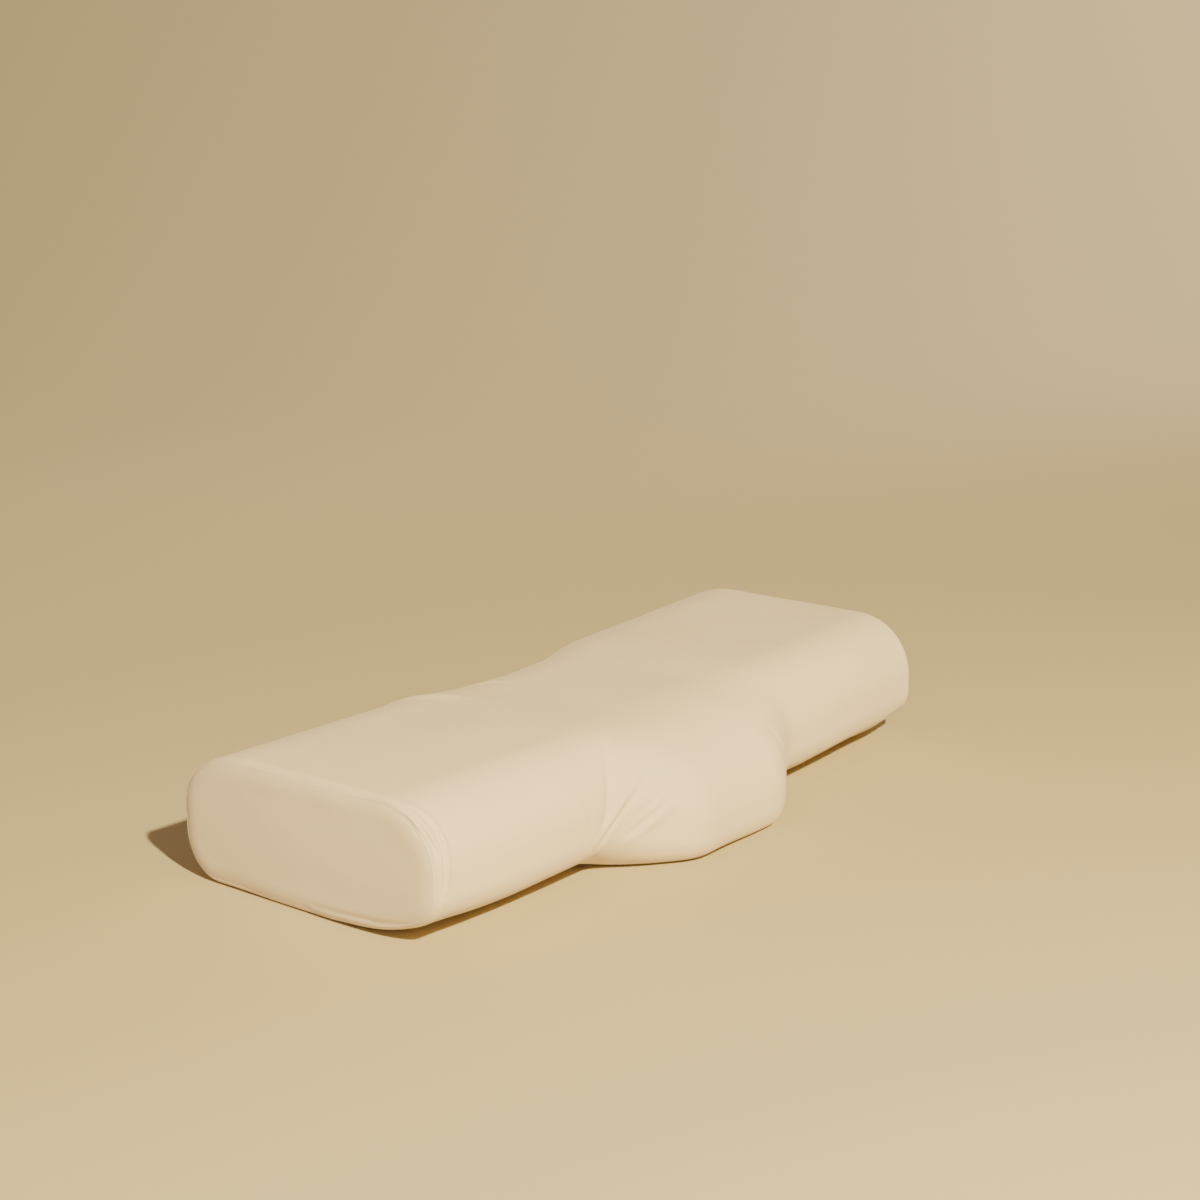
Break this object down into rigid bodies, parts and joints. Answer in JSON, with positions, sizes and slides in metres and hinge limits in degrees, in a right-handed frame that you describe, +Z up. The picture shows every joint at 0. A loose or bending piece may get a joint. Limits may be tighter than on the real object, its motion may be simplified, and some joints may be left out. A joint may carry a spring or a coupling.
{
  "type": "contoured cervical pillow",
  "caption": "Butterfly-shaped foam neck pillow with a front neck bulge, a shallow shoulder recess, flat rounded ends and a soft fabric cover zipped in the base.",
  "frame": {"origin": "on the floor, under the middle of the pillow's bounding box", "axes": "+X along the pillow's length, -Y towards the neck bulge, +Z up"},
  "size_m": [0.6, 0.2847, 0.0986],
  "materials": {
    "cover_fabric": "matt cream knitted cover fabric",
    "liner_knit": "thin white jersey",
    "core_foam": "open-cell memory foam, pale yellow",
    "seam_thread": "cream polyester thread",
    "zip_tape": "woven polyester tape",
    "zip_nylon": "nylon coil",
    "zip_metal": "satin nickel plate"
  },
  "bodies": {
    "pillow": {"foam_core": "core_foam", "liner_sleeve": "liner_knit", "liner_end_left": "liner_knit", "liner_end_right": "liner_knit", "cover_top_panel": "cover_fabric", "cover_base_front": "cover_fabric", "cover_base_back": "cover_fabric", "cover_end_left": "cover_fabric", "cover_end_right": "cover_fabric", "seam_end_left": "seam_thread", "seam_end_right": "seam_thread", "seam_base_front": "seam_thread", "seam_base_back": "seam_thread", "zip_tape_front": "zip_tape", "zip_tape_back": "zip_tape", "zip_teeth_front": "zip_nylon", "zip_teeth_back": "zip_nylon", "zip_stitching_front": "seam_thread", "zip_stitching_back": "seam_thread", "zip_top_stop_front": "zip_metal", "zip_top_stop_back": "zip_metal", "zip_bottom_stop": "zip_metal"},
    "slider": {"zip_slider": "zip_metal", "zip_slider_bridge": "zip_metal"},
    "pull_tab": {"zip_pull_tab": "zip_metal"}
  },
  "joints": [
    {"name": "zip_slide", "type": "slide", "parent": "pillow", "child": "slider", "axis": [1, 0, 0], "range_m": [0, 0.405]},
    {"name": "pull_tab_hinge", "type": "hinge", "parent": "slider", "child": "pull_tab", "pos_m": [-0.2025, 0.03, 0.00355], "axis": [0, 1, 0], "range_deg": [0, 175]}
  ]
}
